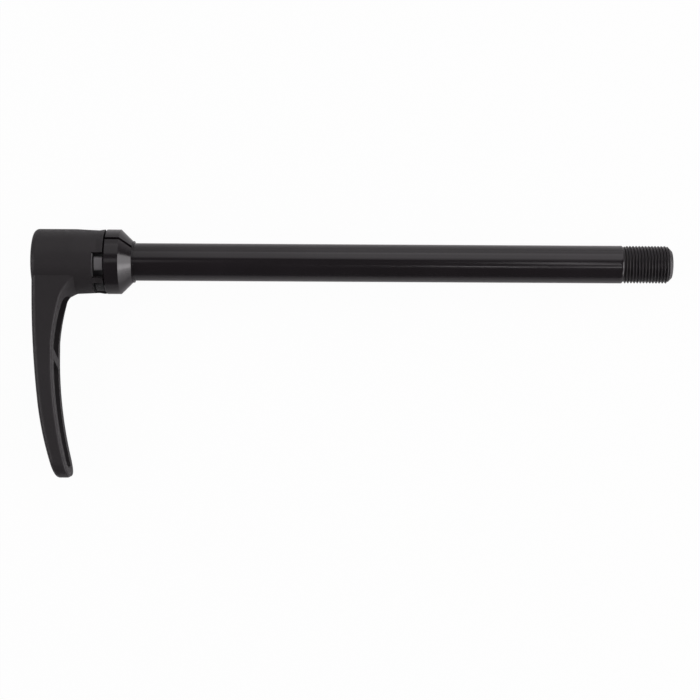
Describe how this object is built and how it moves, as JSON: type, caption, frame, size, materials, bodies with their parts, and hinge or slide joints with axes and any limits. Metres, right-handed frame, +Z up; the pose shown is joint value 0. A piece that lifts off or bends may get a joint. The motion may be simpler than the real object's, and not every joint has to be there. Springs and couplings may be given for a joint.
{
  "type": "bicycle thru axle",
  "caption": "Bicycle thru axle: bored round shaft with a fine-thread tip, a conical collar and a curved lever that pulls out on its splines to be re-indexed.",
  "frame": {"origin": "on the axle's axis at the start of the clear shank, against the inboard face of the retaining ring at the nose of the cone", "axes": "+X along the axle to its threaded tip, -Y along the lever arm, +Z up from the surface that the axle lies on"},
  "size_m": [0.203, 0.0792, 0.0206],
  "materials": {
    "black_anodised": "gloss",
    "lever_polymer": "matte",
    "insert_steel": "satin",
    "spring_steel": "satin",
    "black_steel": "satin",
    "cap_polymer": "matte"
  },
  "bodies": {
    "axle": {"axle_shaft": "black_anodised", "thrust_washer": "spring_steel", "retaining_ring": "black_steel", "screw_washer": "spring_steel", "retaining_screw": "black_steel", "return_spring": "spring_steel"},
    "collar": {"cone_ring": "black_anodised"},
    "spring_carrier": {"spring_seat": "spring_steel"},
    "handle": {"lever": "lever_polymer", "drive_insert": "insert_steel", "end_cap": "cap_polymer"}
  },
  "joints": [
    {"name": "collar_spin", "type": "hinge", "parent": "axle", "child": "collar", "pos_m": [0, 0, 0], "axis": [1, 0, 0], "continuous": true},
    {"name": "lever_pull", "type": "slide", "parent": "axle", "child": "spring_carrier", "axis": [-1, 0, 0], "range_m": [0, 0.0042], "stiffness_N_per_m": 1500, "springref_m": -0.003, "deforming": ["return_spring"]},
    {"name": "lever_turn", "type": "hinge", "parent": "spring_carrier", "child": "handle", "pos_m": [-0.02, 0, 0], "axis": [1, 0, 0], "continuous": true}
  ]
}
